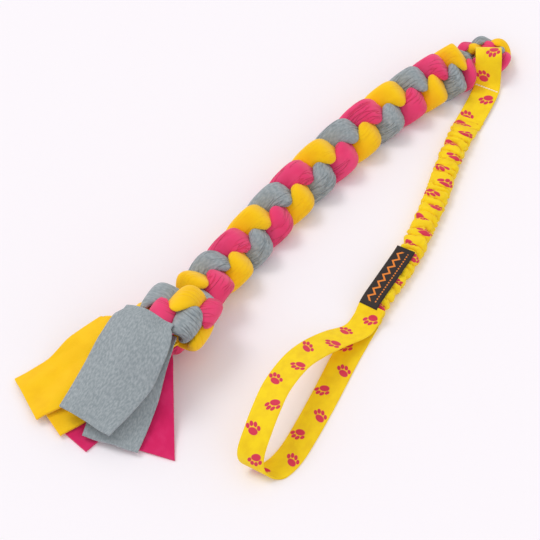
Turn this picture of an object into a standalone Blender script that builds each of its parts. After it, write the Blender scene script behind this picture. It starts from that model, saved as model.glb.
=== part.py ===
# Braided fleece tug toy with a bungee handle, lying on a floor at z = 0.
# Three fleece strips (yellow, pink, grey) are doubled through a webbing eye and plaited.
# Their six ends are tied in a plaited ring knot and hang out of it as tails.
# The plait runs along +X, from the knot to the bight. The handle is folded back beside it.

import math

import bmesh
import bpy
import numpy as np

MM = 0.001

# Clearances
GAP = 0.3 * MM              # between pieces that touch
STRAND_GAP = 2.0 * MM       # between plaited strands, whose faces are coarse
KNOT_STRAND_GAP = 2.3 * MM
BIGHT_STRAND_GAP = 1.6 * MM
END_GAP = 0.6 * MM          # where strands stop short of one another
REST_CUT = 0.5 * MM         # how deep the plait is pressed flat by the floor

# Plaited body
BRAID_WIDTH = 46 * MM
BRAID_THICKNESS = 32 * MM
BRAID_LENGTH = 398 * MM     # from its mouth in the knot to the bight
BRAID_PITCH = 97 * MM       # one full turn of the plait
BRAID_END_PITCH = 62 * MM   # pulled tighter at the bight
BRAID_TIGHT_LENGTH = 105 * MM
BRAID_BEND = 16.0           # degrees that the knot's half curves
BRAID_END_BEND = 15.0       # degrees that the bight's end curves
BRAID_END_BEND_LENGTH = 125 * MM
BRAID_ROLL = 28.0           # degrees that the plait leans towards the handle
BRAID_RISE_LENGTH = 95 * MM  # climbs this far before the knot
BRAID_END_SCALE = 0.86
BRAID_PHASE = -22.0         # degrees, sets which colour comes first

# Ring knot
KNOT_RING_RADIUS = 25 * MM
KNOT_WIDTH = 51 * MM        # along the plait
KNOT_THICKNESS = 28 * MM    # of the ring's own plait
KNOT_TURNS = 2
KNOT_PHASE = 312.0
KNOT_CORE_RADIUS = 9.5 * MM
KNOT_MOUTH = 14 * MM        # where the plaited body stops inside the knot

# Bight at the far end
BIGHT_WIDTH = 14.6 * MM
BIGHT_THICKNESS = 12.6 * MM
BIGHT_PITCH = 42 * MM
BIGHT_HEIGHT = 10.8 * MM
BIGHT_LEG_LENGTH = 32.5 * MM
BIGHT_LEG_TURN = -22.0      # degrees from the plait's own heading
BIGHT_TIGHT_RADIUS = 15.1 * MM
BIGHT_TIGHT_TURN = 158.0
BIGHT_WIDE_RADIUS = 29.8 * MM
BIGHT_WIDE_TURN = 69.0
BIGHT_END_LENGTH = 16 * MM
BIGHT_END_TURN = -27.0
BIGHT_OFFSET = 0.8 * MM     # near leg's start, left of the plait's middle

# Fleece tails
TAIL_THICKNESS = 2.5 * MM
TAIL_GAP = 1.1 * MM
TAIL_ROOT = 28 * MM         # from the knot's centre to where the tails start
TAIL_ROOT_HALF_WIDTH = 11 * MM
TAIL_DROP_LENGTH = 84 * MM
TAIL_BULGE = 6 * MM         # the tails rise this much as they leave the knot
TAIL_BULGE_LENGTH = 50 * MM
TAIL_DRAPE = 22 * MM        # how far a layer beneath still lifts the one above
TAIL_STACK_LENGTH = 26 * MM # they all lie in one stack as far as this
# Bottom to top: colour, place, plan heading in degrees, plan length, width,
# length over which it spreads to its width, shift to its right as it spreads
TAILS = (
    ("pink", "right", 226.0, 104 * MM, 54 * MM, 44 * MM, 19 * MM),
    ("pink", "left", 183.0, 116 * MM, 46 * MM, 40 * MM, 7 * MM),
    ("yellow", "lower", 165.0, 121 * MM, 50 * MM, 60 * MM, 11 * MM),
    ("grey", "lower", 206.0, 107 * MM, 52 * MM, 32 * MM, 16 * MM),
    ("yellow", "upper", 160.0, 122 * MM, 40 * MM, 60 * MM, 19 * MM),
    ("grey", "upper", 191.0, 101 * MM, 54 * MM, 16 * MM, 18 * MM),
)

# Webbing
WEB_WIDTH = 25 * MM
WEB_THICKNESS = 1.6 * MM

# Eye of the strap, round the bight's near leg
EYE_RADIUS = 12.4 * MM      # inside
EYE_FLAT = 2.2 * MM         # straight top before the strap comes down
EYE_ALONG_LEG = 25.3 * MM   # from the leg's start to the eye's middle
EYE_OFF_LEG = 2.5 * MM      # towards the bight's hole
PIVOT_OFF_LEG = -0.9 * MM   # the handle swings about a line this far from the leg's middle
EYE_SKEW = -10.0            # degrees between the leg and the eye's axis
EYE_RUN = 12 * MM           # straight run before the strap bends
STRAP_BEND_LENGTH = 20 * MM
STRAP_BEND = -20.4
STRAP_LENGTH = 68 * MM      # from the eye's middle to the sleeve
SEAM_FROM_EYE = 24 * MM
SEAM_WIDTH = 1.6 * MM
SEAM_HEIGHT = 0.7 * MM

# Gathered sleeve over the bungee
SLEEVE_LENGTH = 250 * MM
SLEEVE_WIDTH = 19.5 * MM
SLEEVE_HEIGHT = 12 * MM
SLEEVE_END_HEIGHT = 4 * MM
SLEEVE_TAPER = 24 * MM
SLEEVE_RIBS = 24
SLEEVE_RIB_DEPTH = 1.5 * MM
SLEEVE_WALL = 1.2 * MM
SLEEVE_STRAIGHT = 192 * MM  # strap and sleeve before the sleeve's bend
SLEEVE_BEND_LENGTH = 25 * MM
SLEEVE_BEND = -9.0
SLEEVE_AFTER_BEND = 58 * MM
LOOP_BEND_LENGTH = 20 * MM
LOOP_BEND = 7.5
BUNGEE_DIAMETER = 7 * MM
BUNGEE_CLEARANCE = 0.8 * MM

# Label tab
LABEL_LENGTH = 72 * MM
LABEL_WIDTH = 18 * MM
LABEL_THICKNESS = 1.0 * MM

# Hand loop
LOOP_LENGTH = 190 * MM      # from the sleeve's end to the far turn
LOOP_HEIGHT = 44 * MM       # of the upper layer's middle over the lower
LOOP_LEAN = 36 * MM         # the upper layer leans this far to its left
LOOP_LAP = 12 * MM          # upper layer over the sleeve's end
# Upper layer out and lower layer back: shares of length, lean and height, width's turn in degrees
LOOP_ROUTE = (
    (0.08, 0.08, 0.12, -3.0),
    (0.20, 0.42, 0.36, -16.0),
    (0.33, 0.71, 0.62, -22.0),
    (0.46, 0.90, 0.83, -12.0),
    (0.63, 1.00, 0.98, 0.0),
    (0.76, 0.99, 0.98, 5.0),
    (0.88, 0.97, 0.82, 8.0),
    (0.965, 0.955, 0.56, 4.0),
    (0.99, 0.86, 0.27, -4.0),
    (0.97, 0.62, 0.05, -10.0),
    (0.93, 0.38, 0.00, -14.0),
    (0.83, 0.20, 0.00, -13.0),
    (0.66, 0.12, 0.00, -9.0),
    (0.45, 0.08, 0.00, -3.0),
    (0.22, 0.06, 0.00, 0.0),
    (0.012, 0.00, 0.00, 0.0),
)

COLOURS = {
    "yellow": (1.0, 0.60, 0.01),
    "pink": (0.85, 0.05, 0.17),
    "grey": (0.30, 0.34, 0.37),
    "webbing": (0.95, 0.66, 0.0),
    "thread": (0.90, 0.85, 0.70),
    "rubber": (0.80, 0.78, 0.72),
    "label": (0.03, 0.02, 0.015),
}
STRANDS = ("yellow", "pink", "grey")


# Small helpers

def clamp(value, low=0.0, high=1.0):
    return min(max(value, low), high)


def smooth(share):
    share = clamp(share)
    return share * share * (3 - 2 * share)


def vec(*values):
    return np.array(values, dtype=float)


def unit(vector):
    return vector / np.linalg.norm(vector)


def plan_dir(degrees):
    return vec(math.cos(math.radians(degrees)), math.sin(math.radians(degrees)), 0)


def at_height(spot, height):
    return vec(spot[0], spot[1], height)


def material(name):
    if name in bpy.data.materials:
        return bpy.data.materials[name]
    made = bpy.data.materials.new(name)
    made.use_nodes = True
    shader = made.node_tree.nodes["Principled BSDF"]
    shader.inputs["Base Color"].default_value = (*COLOURS[name], 1)
    shader.inputs["Roughness"].default_value = 0.6 if name == "rubber" else 0.9
    shader.inputs["Metallic"].default_value = 0.0
    return made


def add_object(name, mesh_data, colour, sharp_angle=40):
    mesh = bpy.data.meshes.new(name)
    mesh_data.to_mesh(mesh)
    mesh_data.free()
    mesh.shade_smooth()
    mesh.set_sharp_from_angle(angle=math.radians(sharp_angle))
    mesh.materials.append(material(colour))
    made = bpy.data.objects.new(name, mesh)
    bpy.context.collection.objects.link(made)
    return made


def loft(rings, closed=False):
    # A closed body through rings of points, capped at its ends or joined end to start.
    body = bmesh.new()
    loops = [[body.verts.new(point) for point in ring] for ring in rings]
    pairs = list(zip(loops, loops[1:]))
    if closed:
        pairs.append((loops[-1], loops[0]))
    for low, high in pairs:
        count = len(low)
        for i in range(count):
            j = (i + 1) % count
            body.faces.new((low[i], low[j], high[j], high[i]))
    if not closed:
        body.faces.new(list(reversed(loops[0])))
        body.faces.new(loops[-1])
    bmesh.ops.recalc_face_normals(body, faces=body.faces)
    return body


def press_flat(body):
    # The floor presses the lowest lobes flat.
    low = [v for v in body.verts if v.co.z < 0]
    if not low:
        return
    geometry = body.verts[:] + body.edges[:] + body.faces[:]
    bmesh.ops.bisect_plane(body, geom=geometry, plane_co=(0, 0, 0), plane_no=(0, 0, -1),
                           clear_outer=True, dist=1e-7)
    rim = [e for e in body.edges if e.is_boundary]
    bmesh.ops.holes_fill(body, edges=rim, sides=0)
    bmesh.ops.recalc_face_normals(body, faces=body.faces)


# Routes in plan: a start, a heading and runs of (length, turn)

def plan_at(route, distance):
    spot, heading, runs = route
    spot = at_height(spot, 0)
    if distance < 0:
        return spot + distance * plan_dir(heading), heading
    for length, turn in runs:
        part = min(distance, length)
        bend = turn * part / length
        half = math.radians(bend) / 2
        chord = part * (math.sin(half) / half if abs(half) > 1e-9 else 1)
        spot = spot + chord * plan_dir(heading + bend / 2)
        heading += bend
        distance -= part
        if distance <= 0:
            return spot, heading
    return spot + distance * plan_dir(heading), heading


# A plait of three strands

def strand_middle(angle, sway, lift):
    return vec(sway * math.sin(angle), -lift * math.sin(2 * angle))


def plait_sections(phase, half_side, half_up, pitch, gap, sides):
    # Each strand is an oval, pressed flat where it meets the other two.
    sway = 0.45 * half_side
    lift = 0.42 * half_up
    own = vec(half_side - sway, half_up - lift)
    angles = [phase + 2 * math.pi * k / 3 for k in range(3)]
    middles = [strand_middle(a, sway, lift) / own for a in angles]
    sections = []
    for k in range(3):
        slope = sway * 2 * math.pi / pitch * math.cos(angles[k])
        stretch = math.hypot(1, slope)
        section = []
        for i in range(sides):
            turn = 2 * math.pi * (i + 0.5) / sides
            way = vec(math.cos(turn), math.sin(turn))
            limits = [(abs(way[0] / stretch) ** 2.4 + abs(way[1]) ** 2.4) ** (-1 / 2.4)]
            for other in range(3):
                if other == k:
                    continue
                apart = middles[other] - middles[k]
                size = np.linalg.norm(apart)
                facing = way @ apart / size
                if facing > 0.02:
                    limits.append((size / 2 - gap / 2 / min(own)) / facing)
            reach = sum(limit ** -5 for limit in limits) ** (-1 / 5)
            section.append((middles[k] + reach * way) * own)
        sections.append(section)
    return sections


def plait(prefix, stations, gap, sides, closed=False):
    # A station is a middle, side and up vectors, phase, half sizes, pitch and a mitre.
    rings = {name: [] for name in STRANDS}
    for station in stations:
        sections = plait_sections(station["phase"], station["half_side"], station["half_up"],
                                  station["pitch"], gap, sides)
        for name, section in zip(STRANDS, sections):
            ring = [station["middle"] + y * station["side"] + z * station["up"]
                    for y, z in section]
            if "mitre" in station:
                point, normal = station["mitre"]
                along = np.cross(station["side"], station["up"])
                ring = [p + along * ((point - p) @ normal) / (along @ normal) for p in ring]
            rings[name].append(ring)
    for name in STRANDS:
        body = loft(rings[name], closed)
        press_flat(body)
        add_object(f"{prefix}_{name}", body, name, sharp_angle=80)


def rolled(heading, degrees):
    # Side and up vectors of a plait that leans about its own length.
    side = plan_dir(heading + 90)
    up = vec(0, 0, 1)
    c, s = math.cos(math.radians(degrees)), math.sin(math.radians(degrees))
    return side * c + up * s, up * c - side * s


def lowest_reach(half_side, half_up, pitch, degrees):
    lowest = 0.0
    for step in range(36):
        for section in plait_sections(math.radians(step * 10), half_side, half_up, pitch, 0, 12):
            for y, z in section:
                lowest = min(lowest, y * math.sin(math.radians(degrees))
                             + z * math.cos(math.radians(degrees)))
    return -lowest


# Where things are

KNOT_OUTER = KNOT_RING_RADIUS + KNOT_THICKNESS / 2
KNOT_HEIGHT = KNOT_OUTER - REST_CUT
BRAID_TOTAL = KNOT_MOUTH + BRAID_LENGTH
BRAID_ROUTE = ((0, 0), BRAID_BEND, ((BRAID_TOTAL - BRAID_END_BEND_LENGTH, -BRAID_BEND),
                                   (BRAID_END_BEND_LENGTH, -BRAID_END_BEND)))
BRAID_HEIGHT = lowest_reach(BRAID_WIDTH / 2, BRAID_THICKNESS / 2, BRAID_PITCH,
                            BRAID_ROLL) - REST_CUT
BRAID_END, BRAID_END_HEADING = plan_at(BRAID_ROUTE, BRAID_TOTAL)

LEG_HEADING = BRAID_END_HEADING + BIGHT_LEG_TURN
LEG_START = BRAID_END + BIGHT_OFFSET * plan_dir(BRAID_END_HEADING + 90)
BIGHT_RUNS = ((BIGHT_LEG_LENGTH, 0),
              (BIGHT_TIGHT_RADIUS * math.radians(BIGHT_TIGHT_TURN), BIGHT_TIGHT_TURN),
              (BIGHT_WIDE_RADIUS * math.radians(BIGHT_WIDE_TURN), BIGHT_WIDE_TURN),
              (BIGHT_END_LENGTH, BIGHT_END_TURN))
BIGHT_ROUTE = (LEG_START[:2], LEG_HEADING, BIGHT_RUNS)
BIGHT_TOTAL = sum(length for length, turn in BIGHT_RUNS)

EYE_AXIS_HEADING = LEG_HEADING + EYE_SKEW
EYE_MIDDLE = (LEG_START + EYE_ALONG_LEG * plan_dir(LEG_HEADING)
              + EYE_OFF_LEG * plan_dir(LEG_HEADING + 90))
EYE_HEIGHT = EYE_RADIUS + WEB_THICKNESS
HANDLE_ROUTE = (EYE_MIDDLE[:2], EYE_AXIS_HEADING - 90,
                ((EYE_RUN, 0), (STRAP_BEND_LENGTH, STRAP_BEND), (SLEEVE_STRAIGHT, 0),
                 (SLEEVE_BEND_LENGTH, SLEEVE_BEND), (SLEEVE_AFTER_BEND, 0),
                 (LOOP_BEND_LENGTH, LOOP_BEND)))
SLEEVE_START = STRAP_LENGTH + GAP
SLEEVE_END = SLEEVE_START + SLEEVE_LENGTH


def handle_spot(distance, height):
    spot, heading = plan_at(HANDLE_ROUTE, distance)
    return at_height(spot, height), heading


# The plaited body

def braid_pitch(distance):
    tight = clamp(1 - (BRAID_TOTAL - distance) / BRAID_TIGHT_LENGTH)
    return BRAID_PITCH + (BRAID_END_PITCH - BRAID_PITCH) * tight


def braid_stations():
    per_turn = 24
    distance = 0.0
    phase = math.radians(BRAID_PHASE)
    stations = []
    while True:
        pitch = braid_pitch(distance)
        at = min(distance, BRAID_TOTAL)
        if at >= KNOT_MOUTH:
            spot, heading = plan_at(BRAID_ROUTE, at)
            into_knot = smooth((at - KNOT_MOUTH) / (KNOT_WIDTH / 2))
            rise = smooth((at - KNOT_MOUTH) / BRAID_RISE_LENGTH)
            narrow = 1 - (1 - BRAID_END_SCALE) * smooth(
                1 - (BRAID_TOTAL - at) / (BRAID_TIGHT_LENGTH / 2))
            size = (0.48 + 0.52 * into_knot) * narrow
            height = KNOT_HEIGHT + (BRAID_HEIGHT - KNOT_HEIGHT) * rise
            side, up = rolled(heading, BRAID_ROLL * rise)
            stations.append({"middle": at_height(spot, height), "side": side, "up": up,
                             "phase": phase, "half_side": BRAID_WIDTH / 2 * size,
                             "half_up": BRAID_THICKNESS / 2 * size, "pitch": pitch})
        if distance >= BRAID_TOTAL:
            return stations
        step = pitch / per_turn
        if distance < KNOT_MOUTH:
            step = min(step, KNOT_MOUTH - distance)
        step = min(step, BRAID_TOTAL - distance)
        phase += 2 * math.pi * step / pitch
        distance = BRAID_TOTAL if BRAID_TOTAL - distance - step < 1e-9 else distance + step


def knot_stations():
    axis, side = plan_dir(BRAID_BEND), plan_dir(BRAID_BEND + 90)
    count = 24 * KNOT_TURNS
    pitch = 2 * math.pi * KNOT_RING_RADIUS / KNOT_TURNS
    stations = []
    for i in range(count):
        turn = 2 * math.pi * i / count
        out = side * math.cos(turn) + vec(0, 0, 1) * math.sin(turn)
        middle = vec(0, 0, KNOT_HEIGHT) + KNOT_RING_RADIUS * out
        stations.append({"middle": middle, "side": axis, "up": out,
                         "phase": math.radians(KNOT_PHASE) - KNOT_TURNS * turn,
                         "half_side": KNOT_WIDTH / 2, "half_up": KNOT_THICKNESS / 2,
                         "pitch": pitch})
    return stations


def bight_stations():
    # Both legs stop short of the plaited body's end, on one flat face.
    out = plan_dir(BRAID_END_HEADING)
    face = BRAID_END + END_GAP * out
    count = math.ceil(BIGHT_TOTAL / (BIGHT_PITCH / 18))
    stations = []
    for i in range(count + 1):
        distance = BIGHT_TOTAL * i / count
        spot, heading = plan_at(BIGHT_ROUTE, distance)
        side, up = rolled(heading, 0)
        station = {"middle": at_height(spot, BIGHT_HEIGHT), "side": side, "up": up,
                   "phase": 2 * math.pi * distance / BIGHT_PITCH,
                   "half_side": BIGHT_WIDTH / 2, "half_up": BIGHT_THICKNESS / 2,
                   "pitch": BIGHT_PITCH}
        clear = (station["middle"] - face) @ out - abs(side @ out) * BIGHT_WIDTH / 2
        if clear > MM:
            stations.append(station)
    first, last = (dict(stations[end], mitre=(face, out)) for end in (0, -1))
    return [first] + stations + [last]


def make_core():
    # The strips' own bundle, inside the ring.
    axis, side = plan_dir(BRAID_BEND), plan_dir(BRAID_BEND + 90)
    middle = vec(0, 0, KNOT_HEIGHT)
    rings = []
    for along in (-TAIL_ROOT + 2 * GAP, KNOT_MOUTH - END_GAP):
        ring = []
        for i in range(16):
            turn = 2 * math.pi * i / 16
            ring.append(middle + along * axis + KNOT_CORE_RADIUS
                        * (side * math.cos(turn) + vec(0, 0, 1) * math.sin(turn)))
        rings.append(ring)
    add_object("knot_core", loft(rings), "grey")


# The tails lie on one another like sheets, each lifted by those beneath it

def tail_root():
    return -TAIL_ROOT * plan_dir(BRAID_BEND)


def tail_shape(tail, along):
    # Half width, and how far the tail's middle has shifted to its right.
    width, spread, shift = tail[4:7]
    opened = math.sqrt(1 - (1 - clamp(along / spread)) ** 2)
    return TAIL_ROOT_HALF_WIDTH + (width / 2 - TAIL_ROOT_HALF_WIDTH) * opened, shift * opened


def tail_cover(tail, point):
    # 1 over a tail, falling smoothly to 0 beside it.
    heading, length = tail[2:4]
    offset = point - tail_root()
    out = offset @ plan_dir(BRAID_BEND + 180)
    stacked = 1 - smooth(out / TAIL_STACK_LENGTH - 1)
    along = offset @ plan_dir(heading)
    half, shift = tail_shape(tail, along)
    beside = abs(offset @ plan_dir(heading - 90) - shift) - half - 2 * TAIL_THICKNESS
    over = (1 - smooth(beside / TAIL_DRAPE)) * (1 - smooth((along - length) / TAIL_DRAPE))
    return max(over, stacked)


def tail_under(index, point):
    # Height of the underside of one tail over a point of the floor.
    away = np.linalg.norm(point - tail_root())
    stack = len(TAILS) * (TAIL_THICKNESS + TAIL_GAP)
    hill = (KNOT_HEIGHT - stack / 2) * (1 - smooth(away / TAIL_DROP_LENGTH))
    hill += TAIL_BULGE * math.sin(math.pi * clamp(away / TAIL_BULGE_LENGTH))
    lifted = sum(tail_cover(TAILS[i], point) for i in range(index))
    return hill + lifted * (TAIL_THICKNESS + TAIL_GAP)


def tail_spots(tail, share, crosswise):
    # Points across the tail, none of them inside the knot's face.
    heading, length, width, spread = tail[2:6]
    out = plan_dir(BRAID_BEND + 180)
    along = length * share
    half, shift = tail_shape(tail, along)
    squared = smooth(2 * along / spread)
    across = unit(plan_dir(heading - 90) * squared
                  + plan_dir(BRAID_BEND + 90) * (1 - squared))
    spots = []
    for j in range(crosswise + 1):
        offset = shift + half * (2 * j / crosswise - 1)
        spot = tail_root() + along * plan_dir(heading) + offset * across
        inside = 0.02 * along - (spot - tail_root()) @ out
        spots.append(spot + max(inside, 0) * out)
    return spots


def make_tail(index):
    lengthwise, crosswise = 14, 7
    rings = []
    for i in range(lengthwise + 1):
        spots = tail_spots(TAILS[index], (i / lengthwise) ** 1.3, crosswise)
        under = [at_height(p, tail_under(index, p)) for p in spots]
        over = [p + vec(0, 0, TAIL_THICKNESS) for p in reversed(under)]
        rings.append(under + over)
    colour, place = TAILS[index][:2]
    add_object(f"tail_{colour}_{place}", loft(rings), colour, sharp_angle=60)


# The strap's eye and flat run

def band_rings(points, width, thickness):
    # points: (spot, direction of the width). The band is square to its own path.
    rings = []
    for i, (spot, across) in enumerate(points):
        before = points[max(i - 1, 0)][0]
        after = points[min(i + 1, len(points) - 1)][0]
        along = unit(after - before)
        normal = unit(np.cross(across, along))
        w, t = across * width / 2, normal * thickness / 2
        rings.append([spot - w - t, spot + w - t, spot + w + t, spot - w + t])
    return rings


def make_strap():
    middle_radius = EYE_RADIUS + WEB_THICKNESS / 2
    over = WEB_THICKNESS * 1.5 + GAP
    path = [(distance, WEB_THICKNESS / 2)
            for distance in np.linspace(SEAM_FROM_EYE + SEAM_WIDTH, 0, 6)[:-1]]
    for turn in range(0, 181, 20):
        path.append((-middle_radius * math.sin(math.radians(turn)),
                     EYE_HEIGHT - middle_radius * math.cos(math.radians(turn))))
    run = np.linspace(0, 1, 8)[1:]
    start_along, start_high = EYE_FLAT, path[-1][1]
    path.append((start_along, start_high))
    landing = SEAM_FROM_EYE - 3 * MM
    for share in run:
        path.append((start_along + (landing - start_along) * share,
                     over + (start_high - over) * (1 - smooth(share))))
    path += [(distance, over) for distance in np.linspace(landing, STRAP_LENGTH, 6)[1:]]
    points = []
    for distance, height in path:
        spot, heading = handle_spot(distance, height)
        points.append((spot, plan_dir(heading + 90)))
    add_object("strap_eye", loft(band_rings(points, WEB_WIDTH, WEB_THICKNESS)), "webbing")
    return over + WEB_THICKNESS / 2


def make_seam(name, distance, surface):
    # A raised row of stitches, rounded on top.
    spot, heading = handle_spot(distance, surface + GAP + SEAM_HEIGHT / 2)
    along, across = plan_dir(heading), plan_dir(heading + 90)
    rings = []
    for end in (-0.5, 0.5):
        ring = []
        for i in range(8):
            turn = 2 * math.pi * (i + 0.5) / 8
            ring.append(spot + end * (WEB_WIDTH - 2 * MM) * across
                        + SEAM_WIDTH / 2 * math.cos(turn) * along
                        + vec(0, 0, SEAM_HEIGHT / 2 * math.sin(turn)))
        rings.append(ring)
    add_object(name, loft(rings), "thread")


# The gathered sleeve, with the bungee in its bore

def sleeve_size(distance):
    # Half width and half height before the ribs.
    swell = smooth((distance - SLEEVE_START) / SLEEVE_TAPER)
    shrink = smooth((SLEEVE_END - distance) / SLEEVE_TAPER)
    flat = WEB_THICKNESS * 2 + GAP
    high = flat + (SLEEVE_HEIGHT - flat) * swell
    high = SLEEVE_END_HEIGHT + (high - SLEEVE_END_HEIGHT) * shrink
    wide = WEB_WIDTH + (SLEEVE_WIDTH - WEB_WIDTH) * min(swell, shrink)
    return wide / 2, high / 2


def sleeve_ring(distance, half_wide, half_high, middle_height):
    spot, heading = handle_spot(distance, middle_height)
    across = plan_dir(heading + 90)
    ring = []
    for i in range(12):
        turn = 2 * math.pi * (i + 0.5) / 12
        c, s = math.cos(turn), math.sin(turn)
        side = math.copysign(abs(c) ** 0.8, c) * half_wide
        rise = math.copysign(abs(s) ** 0.8, s) * half_high
        ring.append(spot + side * across + vec(0, 0, rise))
    return ring


def make_sleeve():
    outer, inner = [], []
    steps = SLEEVE_RIBS * 2
    for i in range(steps + 1):
        distance = SLEEVE_START + SLEEVE_LENGTH * i / steps
        wide, high = sleeve_size(distance)
        dip = SLEEVE_RIB_DEPTH * smooth(high / (SLEEVE_HEIGHT / 2)) if i % 2 == 0 else 0.0
        outer.append(sleeve_ring(distance, wide - dip, high - dip * 0.6, high))
        if i % 4 == 0:
            bore = BUNGEE_DIAMETER / 2 + BUNGEE_CLEARANCE
            bore_high = min(bore, high - SLEEVE_WALL * 0.9)
            inner.append(sleeve_ring(distance, bore, bore_high, high))
    body = loft(outer + inner[::-1], closed=True)
    add_object("gathered_sleeve", body, "webbing")


def make_bungee():
    radius = BUNGEE_DIAMETER / 2
    start, end = SLEEVE_START + SLEEVE_TAPER * 0.8, SLEEVE_END - SLEEVE_TAPER * 0.8
    rings = []
    for i in range(13):
        distance = start + (end - start) * i / 12
        high = sleeve_size(distance)[1]
        spot, heading = handle_spot(distance, high)
        across = plan_dir(heading + 90)
        ring = []
        for k in range(10):
            turn = 2 * math.pi * k / 10
            ring.append(spot + radius * (across * math.cos(turn) + vec(0, 0, 1) * math.sin(turn)))
        rings.append(ring)
    add_object("bungee_core", loft(rings), "rubber")


# Label and hand loop

def sleeve_top(distance):
    return 2 * sleeve_size(distance)[1]


def make_label():
    root = SLEEVE_END - LOOP_LAP - WEB_THICKNESS
    steps = 14
    points = []
    for i in range(steps + 1):
        distance = root - LABEL_LENGTH * i / steps
        nearby = LABEL_LENGTH / steps
        top = max(sleeve_top(distance + step) for step in (-nearby, 0, nearby))
        spot, heading = handle_spot(distance, top + GAP + LABEL_THICKNESS / 2)
        points.append((spot, plan_dir(heading + 90)))
    add_object("label_tab", loft(band_rings(points, LABEL_WIDTH, LABEL_THICKNESS)), "label")


def loop_point(share, lean, high, turn):
    # Middle of the hand loop's band, and its width's direction.
    spot, heading = handle_spot(SLEEVE_END + GAP + LOOP_LENGTH * share, 0)
    end_heading = plan_at(HANDLE_ROUTE, SLEEVE_END + LOOP_LENGTH)[1]
    base = WEB_THICKNESS / 2 + high * LOOP_HEIGHT
    if share < 0.15 and high > 0:
        base = max(base, WEB_THICKNESS * 1.5 + GAP)
    spot = at_height(spot + lean * LOOP_LEAN * plan_dir(end_heading - 90), base)
    return spot, heading + 90 + turn


def spline(knots, per_span):
    # A smooth curve through hand-set points.
    curve = []
    for i in range(len(knots) - 1):
        a, b, c, d = (knots[clamp_index(i + k, len(knots))] for k in (-1, 0, 1, 2))
        for step in range(per_span):
            t = step / per_span
            curve.append(0.5 * (2 * b + (c - a) * t + (2 * a - 5 * b + 4 * c - d) * t * t
                                + (3 * b - a - 3 * c + d) * t ** 3))
    curve.append(knots[-1])
    return curve


def clamp_index(index, count):
    return min(max(index, 0), count - 1)


def make_hand_loop():
    knots = []
    for offset in (-LOOP_LAP, -LOOP_LAP / 2, 0):
        distance = SLEEVE_END + offset
        height = sleeve_top(distance) + GAP * 2 + WEB_THICKNESS / 2
        spot, heading = handle_spot(distance, height)
        knots.append(vec(*spot, heading + 90))
    for row in LOOP_ROUTE:
        spot, turn = loop_point(*row)
        knots.append(vec(*spot, turn))
    points = []
    for x, y, z, turn in spline(knots, 3):
        points.append((vec(x, y, max(z, WEB_THICKNESS / 2)), plan_dir(turn)))
    add_object("hand_loop", loft(band_rings(points, WEB_WIDTH, WEB_THICKNESS)), "webbing")


def recentre():
    # The origin is the middle of the whole toy's footprint, on the floor.
    parts = [o for o in bpy.data.objects if o.type == "MESH"]
    corners = np.array([v.co[:] for o in parts for v in o.data.vertices])
    middle = (corners.min(axis=0) + corners.max(axis=0)) / 2
    for part in parts:
        for vert in part.data.vertices:
            vert.co.x -= middle[0]
            vert.co.y -= middle[1]
    return middle


for old in list(bpy.data.objects):
    bpy.data.objects.remove(old)

plait("braid", braid_stations(), STRAND_GAP, 12)
plait("knot", knot_stations(), KNOT_STRAND_GAP, 12, closed=True)
plait("bight", bight_stations(), BIGHT_STRAND_GAP, 8)
make_core()
for tail_index in range(len(TAILS)):
    make_tail(tail_index)
strap_top = make_strap()
make_seam("eye_seam", SEAM_FROM_EYE, strap_top)
make_sleeve()
make_bungee()
make_label()
make_hand_loop()
shift = recentre()
# Where the record's joints are
pivot = at_height(EYE_MIDDLE + (PIVOT_OFF_LEG - EYE_OFF_LEG) * plan_dir(LEG_HEADING + 90),
                  BIGHT_HEIGHT)
lift_axis = plan_dir(EYE_AXIS_HEADING + 180)
slide_axis = plan_dir(plan_at(HANDLE_ROUTE, SLEEVE_END)[1])
tail_pivot = at_height(tail_root(), KNOT_HEIGHT
                       + len(TAILS) * (TAIL_THICKNESS + TAIL_GAP) / 2)
tail_axis = plan_dir(BRAID_BEND + 90)
offset = at_height(shift, 0)
print("moved by", [round(-c * 1000, 2) for c in shift[:2]], "mm")
print("handle hinge at", (pivot - offset).round(5), "axis", lift_axis.round(5))
print("bungee slide along", slide_axis.round(5))
print("tail hinges at", (tail_pivot - offset).round(5), "axis", tail_axis.round(5))
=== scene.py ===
import math

import bmesh
import bpy
from mathutils import Matrix, Vector, noise


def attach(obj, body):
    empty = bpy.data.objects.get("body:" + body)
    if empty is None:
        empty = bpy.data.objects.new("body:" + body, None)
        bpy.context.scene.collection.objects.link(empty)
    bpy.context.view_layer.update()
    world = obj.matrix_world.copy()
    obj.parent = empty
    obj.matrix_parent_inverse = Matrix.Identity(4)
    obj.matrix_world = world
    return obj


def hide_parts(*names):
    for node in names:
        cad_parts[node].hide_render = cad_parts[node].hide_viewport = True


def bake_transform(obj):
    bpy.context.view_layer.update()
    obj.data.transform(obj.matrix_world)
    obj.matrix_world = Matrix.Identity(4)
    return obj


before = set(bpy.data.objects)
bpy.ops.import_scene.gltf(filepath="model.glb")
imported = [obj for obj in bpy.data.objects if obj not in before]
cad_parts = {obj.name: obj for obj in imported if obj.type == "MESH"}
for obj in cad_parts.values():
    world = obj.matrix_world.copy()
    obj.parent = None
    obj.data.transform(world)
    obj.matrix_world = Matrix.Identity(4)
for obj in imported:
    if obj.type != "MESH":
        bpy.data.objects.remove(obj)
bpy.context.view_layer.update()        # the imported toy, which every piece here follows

mm = 0.001
upward = Vector((0, 0, 1))


# Plain helpers

def smooth(share):
    share = min(max(share, 0.0), 1.0)
    return share * share * (3 - 2 * share)


def mixed(low, high, share):
    return low + (high - low) * share


def planDir(degrees):        # a direction on the floor
    return Vector((math.cos(math.radians(degrees)), math.sin(math.radians(degrees)), 0))


def atHeight(spot, height):
    return Vector((spot.x, spot.y, height))


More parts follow.
